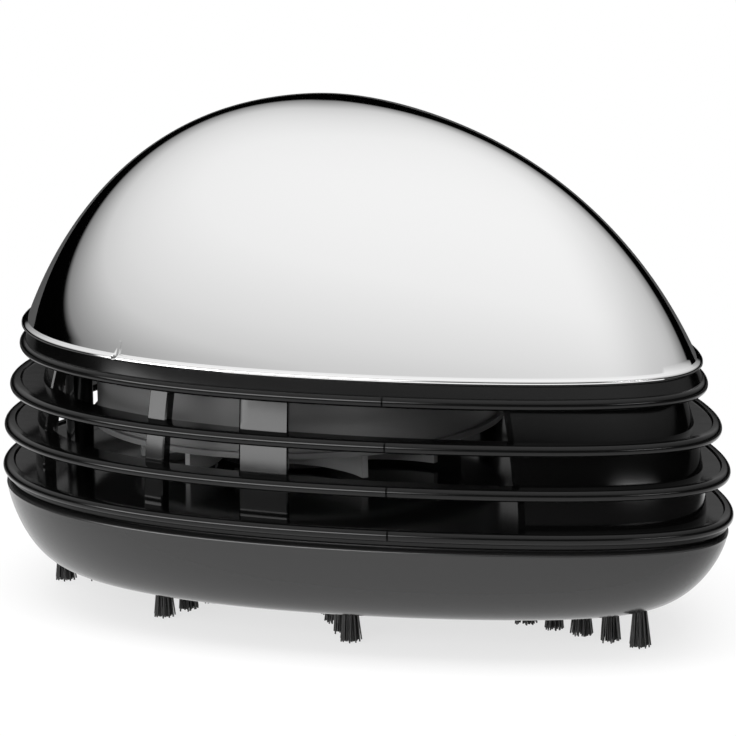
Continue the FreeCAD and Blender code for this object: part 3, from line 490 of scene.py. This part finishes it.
def beaded_ring(name, level, width):
    """Closed ring section: half-round bead, a small step, the flat fin and its inner edge."""
    bead = []
    for step in range(13):
        angle = math.radians(-90 + 15 * step)
        bead.append((bead_bulge * (1 - math.cos(angle)), bead_half * math.sin(angle)))
    upper = [(bead_width - bead_ease, bead_half), (bead_width, bead_half - bead_step),
             (bead_width + 0.0001, fin_half), (width - fin_ease, fin_half), (width, fin_half - fin_ease)]
    lower = [(inset, -rise) for inset, rise in upper[::-1]]
    line = parting_depth * on_line
    made = [shell_point(level, inset + line, ring_turns, level + rise) for inset, rise in bead]
    made += [shell_point(level, inset, ring_turns, level + rise) for inset, rise in upper + lower]
    return skin(name, made, closed=True, sharp=40.0)


def band(name, low, high, inset, wall, level_of=None, edge=0.0003):
    """Upright band between two levels with eased upper and lower edges."""
    steps = 6
    between = [low + (high - low) * step / steps for step in range(1, steps)]
    rises = [low, low + edge] + between + [high - edge, high]
    outer = []
    inner = []
    for height in rises:
        eased = edge if height in (low, high) else 0
        level = height if level_of is None else level_of
        outer.append(shell_point(level, inset + eased, ring_turns, height))
        inner.append(shell_point(level, inset + wall - eased, ring_turns, height))
    return skin(name, outer + inner[::-1], closed=True, sharp=40.0)


def upright_post(name, angle, width, inset, wall, low, high):
    """Post that follows the slope of the shell, with softened corners."""
    ease = 0.0002
    offsets = np.concatenate([[-width / 2], np.linspace(-width / 2 + ease, width / 2 - ease, 7), [width / 2]])
    levels = []
    for step in range(9):
        level = low + (high - low) * step / 8
        outer = across_outline(level, inset, angle, offsets)
        corner = across_outline(level, inset + ease, angle, offsets)
        outer[0] = corner[0]
        outer[-1] = corner[-1]
        levels.append(cut_row(outer, across_outline(level, inset + wall, angle, offsets)))
    return skin(name, levels, cap_low=True, cap_high=True, sharp=30.0)


post_recess = 0.0042
post_wall = 0.0016
post_low = ring_levels[0]
post_high = ring_levels[3]
fore_angle = 55.5
posts = [(fore_angle, 0.007), (80.5, 0.0032), (127.0, 0.009)]
nose_angle = 18.0
shoulder_top = dome_foot
skirt_low = 0.01725
band_wall = 0.0018

housing_parts = [beaded_ring("ring_%d" % index, level, ledge_width if index in (0, 3) else fin_width)
                 for index, level in enumerate(ring_levels)]
for side in (1, -1):
    for angle, width in posts:
        housing_parts.append(upright_post("post", side * angle, width, post_recess, post_wall,
                                          post_low, post_high))
housing_parts.append(band("shoulder", post_high, shoulder_top, 0.0005, band_wall))
housing_parts.append(band("skirt", skirt_low, post_low, 0.0008, band_wall, level_of=waist))


def nose_wall():
    """Closed wall round the narrow end, behind the ring edges."""
    turns = np.linspace(-1.2, 1.2, 200)
    rows = []
    for step in range(9):
        level = post_low + (post_high - post_low) * step / 8
        sides = []
        for inset in (post_recess, post_recess + post_wall):
            x, y = outline(shell_scale(level), crown_axis, inset, turns)
            inside = np.abs(np.degrees(np.arctan2(y, x - fan_axis))) <= nose_angle
            picked = np.linspace(turns[inside][0], turns[inside][-1], 60)
            sides.append(shell_point(level, inset, picked))
        rows.append(cut_row(*sides))
    return skin("nose", rows, cap_low=True, cap_high=True, sharp=30.0)


housing_parts.append(nose_wall())


def turned(name, section, steps=96):
    """Ring turned about the fan axis from a section of radius and height."""
    angles = np.linspace(0, 2 * math.pi, steps, endpoint=False)
    return skin(name, [round_row(radius, z, angles) for radius, z in section], closed=True)


def floor_plate():
    """Floor at the lowest ring, open at the fan inlet."""
    inlet = 0.0125
    low, high = (waist - fin_half + 0.00005, waist + fin_half - 0.00005)
    section = [round_row(inlet, low, ring_turns), shell_point(waist, fin_width, ring_turns, low),
               shell_point(waist, fin_width, ring_turns, high), round_row(inlet, high, ring_turns)]
    return skin("floor", section, closed=True)


housing_parts.append(floor_plate())
collar_inner = 0.01585
collar_outer = 0.0171
collar_low = 0.0159
collar_high = 0.0184
housing_parts.append(turned("collar", [(collar_inner, collar_low), (collar_outer, collar_low),
                                       (collar_outer, collar_high), (collar_inner, collar_high)]))

switch_panel_inset = 0.001
switch_panel_wall = 0.0009
panel_half = 0.0075
panel_low = ring_levels[2]
panel_high = ring_levels[3]
slot_half = 0.00355
slot_level = 0.0331
slot_rise = 0.00115
slot_low = slot_level - slot_rise
slot_high = slot_level + slot_rise


def wall_patch(name, low_y, high_y, low, high):
    """Piece of the switch panel between two levels and two places across the wide end."""
    rows = []
    for step in range(5):
        level = low + (high - low) * step / 4
        sides = []
        for inset in (switch_panel_inset, switch_panel_inset + switch_panel_wall):
            turns = np.linspace(math.pi - 0.3, math.pi + 0.3, 400)
            x, y = outline(shell_scale(level), crown_axis, inset, turns)
            places = np.linspace(low_y, high_y, 12)
            sides.append(at_height(np.interp(places, y[::-1], x[::-1]), places, level))
        rows.append(cut_row(*sides))
    return skin(name, rows, cap_low=True, cap_high=True, sharp=30.0)


for patch in ((-panel_half, panel_half, panel_low, slot_low),
              (-panel_half, panel_half, slot_high, panel_high),
              (-panel_half, -slot_half, slot_low, slot_high),
              (slot_half, panel_half, slot_low, slot_high)):
    housing_parts.append(wall_patch("panel", *patch))

boss_radius = 0.002
boss_hole = 0.001
boss_inset = 0.0068
tray_seat = ring_levels[3] + fin_half
rear_boss_angle = 145.0
boss_places = []
for angle in (fore_angle, -fore_angle, rear_boss_angle, -rear_boss_angle):
    point = across_outline(ring_levels[3], boss_inset, angle, np.array([0.0]))[0]
    boss_places.append(point)
    boss = turned("boss", [(boss_hole, waist), (boss_radius, waist), (boss_radius, tray_seat),
                           (boss_hole, tray_seat)], 32)
    boss.data.transform(Matrix.Translation((point[0] - fan_axis, point[1], 0)))
    housing_parts.append(boss)
housing = joined("vent_moulding", housing_parts)
dress(housing, gloss_black, "housing_plastic", "main_housing", "vent_housing")


# Dust bowl: a deep tray of the same egg, in dark plastic with a duller skin than the rings.
# Its sections draw in about the fan axis to a flat underside, and a spigot enters the housing.
bowl_black = Material("bowl_black_plastic")
grain = bowl_black.noise(900.0, 2.0)
patches = bowl_black.noise(60.0, 3.0)
bowl_black.set(Base_Color=grey(0.018), Roughness=0.16 + patches * 0.06, Normal=bowl_black.bump(grain, 0.08))

bowl_rim = 0.0167
bowl_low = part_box("dust_bowl")[0].z
bowl_wall = 0.0018
rim_scale = 0.989
base_scale = 0.807
drop_power = 1.403
bowl_power = 1.931
spout_outer = 0.0102
bowl_turns = egg_turns(400)


def bowl_scale(level):
    drop = np.clip((bowl_rim - level) / (bowl_rim - bowl_low), 0, 1)
    return base_scale + (rim_scale - base_scale) * (1 - drop ** drop_power) ** (1 / bowl_power)


def bowl_row(level, inset=0.0, height=None, scale=None):
    x, y = outline(bowl_scale(level) if scale is None else scale, fan_axis, inset, bowl_turns)
    return at_height(x, y, level if height is None else height)


steps = 40
levels = [bowl_rim - (bowl_rim - bowl_low) * math.sin(math.pi / 2 * step / steps)
          for step in range(1, steps + 1)]
spigot_section = [(0.0043, 0.0151), (0.0043, 0.0174), (0.0041, 0.0176), (0.0032, 0.0176), (0.00295, 0.0174),
                  (0.00295, bowl_rim)]
rim_section = [(0.0003, bowl_rim), (0.00008, bowl_rim - 0.0001), (0, bowl_rim - 0.0003)]
spout_hole = spout_outer + 0.00005
bowl_floor = bowl_low + bowl_wall
inner_rise = (bowl_rim - bowl_low - bowl_wall) / (bowl_rim - bowl_low)
inner_top = 0.0150
rows = [shell_point(waist, inset, bowl_turns, height) for inset, height in spigot_section]
rows += [bowl_row(bowl_rim, inset, height) for inset, height in rim_section]
rows += [bowl_row(level) for level in levels]
rows += [bowl_row(bowl_low, scale=base_scale * share) for share in (0.75, 0.5)]
rows += [round_row(spout_hole, height, bowl_turns) for height in (bowl_low, bowl_floor)]
rows += [bowl_row(bowl_low, bowl_wall, bowl_floor, base_scale * 0.75)]
for level in levels[::-1]:
    height = bowl_floor + (level - bowl_low) * inner_rise
    if height < inner_top:
        rows.append(bowl_row(level, bowl_wall, height))
bowl = skin("dust_tray", rows, closed=True, sharp=40.0)
dress(bowl, bowl_black, "bowl_plastic", "dust_bowl", "dust_bowl")


# Bristles: thirty-eight small tufts of black nylon in rows that run out from the intake.
# Geometry Nodes sets a bundle of splayed filaments at every tuft, with lengths that differ a little.
nylon = Material("black_nylon")
fade = nylon.noise(900.0, 2.0)
nylon.set(Base_Color=nylon.mix(fade, grey(0.004), grey(0.02)), Roughness=0.38)


def bake(piece):
    """Makes what a piece's modifiers show into its own mesh."""
    bpy.context.view_layer.update()
    shaped = piece.evaluated_get(bpy.context.evaluated_depsgraph_get())
    mesh = bpy.data.meshes.new_from_object(shaped)
    piece.modifiers.clear()
    piece.data = mesh


class Builder:
    """Geometry Nodes group with named inputs, built up one node at a time."""

    def __init__(self, name, **inputs):
        self.tree = bpy.data.node_groups.new(name, "GeometryNodeTree")
        face = self.tree.interface
        face.new_socket("Geometry", in_out="INPUT", socket_type="NodeSocketGeometry")
        face.new_socket("Geometry", in_out="OUTPUT", socket_type="NodeSocketGeometry")
        kinds = {bool: "NodeSocketBool", int: "NodeSocketInt", float: "NodeSocketFloat"}
        for key, value in inputs.items():
            kind = kinds.get(type(value), "NodeSocketMaterial")
            made = face.new_socket(key.replace("_", " "), in_out="INPUT", socket_type=kind)
            if kind != "NodeSocketMaterial":
                made.default_value = value
        self.values = inputs
        self.start = self.tree.nodes.new("NodeGroupInput")
        self.finish = self.tree.nodes.new("NodeGroupOutput")

    def given(self, name):
        return self.start.outputs[name]

    def node(self, kind, settings=None, output=0, **inputs):
        made = self.tree.nodes.new(kind)
        for key, value in (settings or {}).items():
            setattr(made, key, value)
        for key, value in inputs.items():
            slot = int(key[1:]) if key[0] == "i" and key[1:].isdigit() else key.replace("_", " ")
            socket = made.inputs[slot]
            if isinstance(value, bpy.types.NodeSocket):
                self.tree.links.new(value, socket)
            else:
                socket.default_value = value
        return made.outputs[output]

    def maths(self, operation, *operands):
        return self.node("ShaderNodeMath", {"operation": operation},
                         **{"i%d" % index: operand for index, operand in enumerate(operands)})

    def scaled(self, vector, factor):
        return self.node("ShaderNodeVectorMath", {"operation": "SCALE"}, i0=vector, Scale=factor)

    def seed(self, offset):
        return self.node("FunctionNodeIntegerMath", i0=self.given("Seed"), i1=offset)

    def drawn(self, low, high, **inputs):
        """Random number between two limits."""
        return self.node("FunctionNodeRandomValue", {"data_type": "FLOAT"}, output=1, i2=low, i3=high,
                         **inputs)

    def end(self, geometry, material):
        """Realises the copies, coats them and hands them to the group's output."""
        real = self.node("GeometryNodeRealizeInstances", Geometry=geometry)
        coated = self.node("GeometryNodeSetMaterial", Geometry=real, Material=self.given(material))
        self.tree.links.new(coated, self.finish.inputs[0])

    def apply(self, base):
        modifier = base.modifiers.new("repeat", "NODES")
        modifier.node_group = self.tree
        for item in self.tree.interface.items_tree:
            key = item.name.replace(" ", "_")
            if item.in_out == "INPUT" and key in self.values:
                modifier[item.identifier] = self.values[key]
        bake(base)


root_height = 0.0064


def bristle_group():
    made = Builder("bristle_tufts", Filaments=64, Bundle_Radius=0.00088, Root_Height=root_height, Splay=0.085,
                   Straying=0.10, Thickness=0.00013, Shortest=0.90, Seed=7, Nylon=nylon.holder)
    points = made.node("GeometryNodeMeshToPoints", Mesh=made.given("Geometry"))
    copies = made.node("GeometryNodeDuplicateElements", {"domain": "POINT"}, Geometry=points,
                       Amount=made.given("Filaments"))
    index = made.node("GeometryNodeInputIndex")
    turn = made.drawn(0.0, 2 * math.pi, ID=index, Seed=made.given("Seed"))
    reach = made.maths("POWER", made.drawn(0.0, 1.0, ID=index, Seed=made.seed(1)), 0.5)
    east = made.maths("MULTIPLY", reach, made.maths("COSINE", turn))
    north = made.maths("MULTIPLY", reach, made.maths("SINE", turn))
    outward = made.node("ShaderNodeCombineXYZ", X=east, Y=north)
    bundled = made.node("GeometryNodeSetPosition", Geometry=copies,
                        Offset=made.scaled(outward, made.given("Bundle Radius")))
    stray = made.node("FunctionNodeRandomValue", {"data_type": "FLOAT_VECTOR"}, i0=(-0.5, -0.5, 0.0),
                      i1=(0.5, 0.5, 0.0), ID=index, Seed=made.seed(2))
    leaning = made.node("ShaderNodeVectorMath", {"operation": "ADD"},
                        i0=made.scaled(outward, made.given("Splay")),
                        i1=made.scaled(stray, made.given("Straying")))
    down = made.node("ShaderNodeVectorMath", {"operation": "ADD"}, i0=leaning, i1=(0.0, 0.0, -1.0))
    aimed = made.node("FunctionNodeAlignRotationToVector", {"axis": "Z"}, Vector=down)
    length = made.drawn(made.given("Shortest"), 1.0, ID=index, Seed=made.seed(3))
    size = made.node("ShaderNodeCombineXYZ", X=1.0, Y=1.0, Z=length)
    tip = made.node("ShaderNodeCombineXYZ", Z=made.given("Root Height"))
    line = made.node("GeometryNodeCurvePrimitiveLine", End=tip)
    profile = made.node("GeometryNodeCurvePrimitiveCircle", Resolution=3, Radius=made.given("Thickness"))
    filament = made.node("GeometryNodeCurveToMesh", Curve=line, Profile_Curve=profile, Fill_Caps=True)
    made.end(made.node("GeometryNodeInstanceOnPoints", Points=bundled, Instance=filament, Rotation=aimed,
                       Scale=size), "Nylon")
    return made


tuft_rows = {"nose": (0, 0.062), "right_fore": (38, 0.0364), "right_side": (91, 0.029),
             "right_rear": (138, 0.0346), "tail": (180, 0.0315), "left_rear": (-138, 0.0346),
             "left_side": (-91, 0.029), "left_fore": (-38, 0.0364)}
tuft_pitch = 0.005
tuft_inner = 0.016
bristles = bristle_group()
for row_name, (angle, reach) in tuft_rows.items():
    count = int((reach - tuft_inner) / tuft_pitch + 1e-6) + 1
    ray = math.radians(angle)
    reaches = [reach - step * tuft_pitch for step in range(count)]
    spots = [(fan_axis + far * math.cos(ray), far * math.sin(ray), root_height) for far in reaches]
    mesh = bpy.data.meshes.new("tufts_" + row_name)
    mesh.from_pydata(spots, [], [])
    tufts = placed("tufts_" + row_name, mesh)
    bristles.apply(tufts)
    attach(tufts, "dust_bowl")
    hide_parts("brush_row_" + row_name)


# Screws: ten pan-head screws with a cross recess hold the tray, the drum and the motor strap.
# One screw is modelled and Geometry Nodes sets a copy, each turned its own way, at every place.
screw_steel = Material("screw_steel")
scuffs = screw_steel.noise(700.0, 3.0)
screw_steel.set(Base_Color=grey(0.42), Metallic=1.0, Roughness=0.22 + scuffs * 0.2)


def cross_screw():
    """Shank from the tip up, then the rounded head, with the two slots of the cross cut out of it."""
    tip = -0.0055
    shank = 0.00095
    head = 0.0017
    head_top = 0.0012
    slot_size = (0.0018, 0.00036, 0.0012)
    profile = [(0.0, tip), (shank, tip), (shank, 0.0), (head, 0.0), (head, 0.0006), (0.00155, 0.0010),
               (0.0011, head_top), (0.0, head_top)]
    angles = np.linspace(0, 2 * math.pi, 32, endpoint=False)
    rod = [at_height(radius * np.cos(angles), radius * np.sin(angles), z) for radius, z in profile]
    body = skin("screw", rod)
    for turn in (0, math.pi / 2):
        bpy.ops.mesh.primitive_cube_add(size=1, location=(0, 0, head_top))
        cutter = bpy.context.object
        cutter.scale = slot_size
        cutter.rotation_euler.z = turn
        cutter.hide_render = True
        recess = body.modifiers.new("recess", "BOOLEAN")
        recess.object = cutter
        recess.solver = "EXACT"
        bake(body)
        bpy.data.objects.remove(cutter)
    return body


def screw_group(pattern):
    made = Builder("screw_copies", Most_Turn=2 * math.pi, Seed=3, Steel=screw_steel.holder)
    info = made.node("GeometryNodeObjectInfo", output="Geometry")
    info.node.inputs["Object"].default_value = pattern
    turn = made.drawn(0.0, made.given("Most Turn"), Seed=made.given("Seed"))
    turned_by = made.node("FunctionNodeEulerToRotation", Euler=made.node("ShaderNodeCombineXYZ", Z=turn))
    made.end(made.node("GeometryNodeInstanceOnPoints", Points=made.given("Geometry"), Instance=info,
                       Rotation=turned_by), "Steel")
    return made


tray_top = 0.03835
strap_top = 0.03915
drum_reach = 0.0256
strap_reach = 0.01395
screw_spots = {
    "tray_screws": [(point[0], point[1], tray_top) for point in boss_places],
    "drum_screws": [(fan_axis + drum_reach, 0, tray_top), (fan_axis - drum_reach, 0, tray_top),
                    (fan_axis, drum_reach, tray_top), (fan_axis, -drum_reach, tray_top)],
    "strap_screws": [(fan_axis, strap_reach, strap_top), (fan_axis, -strap_reach, strap_top)],
}
pattern = cross_screw()
screws = screw_group(pattern)
for group_name, spots in screw_spots.items():
    mesh = bpy.data.meshes.new("cross_" + group_name)
    mesh.from_pydata(spots, [], [])
    copies = placed("cross_" + group_name, mesh)
    screws.apply(copies)
    copies.data.set_sharp_from_angle(angle=math.radians(35))
    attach(copies, "main_housing")
    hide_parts(group_name)
bpy.data.objects.remove(pattern)


# Inner pieces: the CAD forms themselves, with a material each.
# They are the fan, the drum, the motor, the filter, the cells and their contacts, and the switch.
def paint(material, *names):
    for name in names:
        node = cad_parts[name]
        node.data.materials.clear()
        node.data.materials.append(material.holder)


def plastic(name, tone, roughness, grain_scale=500.0, strength=0.08):
    made = Material(name)
    fine = made.noise(grain_scale, 2.0)
    broad = made.noise(70.0, 3.0)
    made.set(Base_Color=tone, Roughness=roughness + broad * 0.1, Normal=made.bump(fine, strength))
    return made


def metal(name, tone, roughness):
    made = Material(name)
    brushed = made.node("ShaderNodeMapping", Vector=made.place(), Scale=(1.0, 1.0, 12.0))
    fine = made.node("ShaderNodeTexNoise", Vector=brushed, Scale=300.0, Detail=3.0)
    made.set(Base_Color=tone, Metallic=1.0, Roughness=roughness + fine * 0.14)
    return made


paint(plastic("drum_grey", grey(0.12), 0.34), "fan_drum")
paint(plastic("fan_grey", grey(0.30), 0.34), "impeller")
paint(plastic("spout_black", grey(0.008), 0.30), "intake_spout")
paint(plastic("tray_black", grey(0.012), 0.36), "battery_tray")
paint(plastic("clip_black", grey(0.010), 0.30), "cover_clip_ring")
paint(plastic("switch_black", grey(0.008), 0.42), "switch_body", "switch_knob", "switch_lever")
paint(plastic("cap_ivory", (0.62, 0.60, 0.53, 1.0), 0.40), "motor_end_cap")
paint(plastic("filter_grey", grey(0.16), 0.42), "filter_frame")
paint(plastic("gasket_rubber", grey(0.010), 0.62, 900.0, 0.2), "bowl_gasket")
paint(metal("can_steel", grey(0.55), 0.20), "motor_can", "motor_strap")
paint(metal("spring_steel", grey(0.62), 0.16), "leaf_springs", "bridge_contact", "front_contact",
      "rear_contact", "motor_shaft")
paint(metal("tag_brass", (0.78, 0.58, 0.26, 1.0), 0.20), "motor_tags", "motor_bush")

cloth = Material("filter_cloth")
warp, weft = [cloth.node("ShaderNodeTexWave", {"bands_direction": direction}, output="Fac",
                         Vector=cloth.place(), Scale=700.0) for direction in "XY"]
weave = warp * weft
cloth.set(Base_Color=cloth.mix(weave, grey(0.35), grey(0.72)), Roughness=0.85,
          Normal=cloth.bump(weave, 0.5, 0.0002))
paint(cloth, "filter_mesh")


cell_steel = grey(0.6)
cell_black = (0.010, 0.012, 0.016, 1.0)
cell_copper = (0.56, 0.27, 0.10, 1.0)
nub_end = 0.035
copper_end = 0.27
flat_end = 0.992


def jacket(name, row, direction):
    """Cell wrapper in two plain colours, with bare steel at both ends."""
    made = Material(name)
    split = made.node("ShaderNodeSeparateXYZ", output="Y", Vector=made.place())
    low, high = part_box(row)
    along = (split - low.y) * (1 / (high.y - low.y))
    from_nub = along if direction < 0 else 1.0 - along
    steel = (from_nub < nub_end) + (from_nub > flat_end)
    colours = made.mix(from_nub < copper_end, cell_black, cell_copper)
    wear = made.noise(160.0, 3.0)
    made.set(Base_Color=made.mix(steel, colours, cell_steel), Metallic=steel, Roughness=0.22 + wear * 0.12)
    paint(made, row)


jacket("front_jacket", "cell_front", 1)
jacket("rear_jacket", "cell_rear", -1)
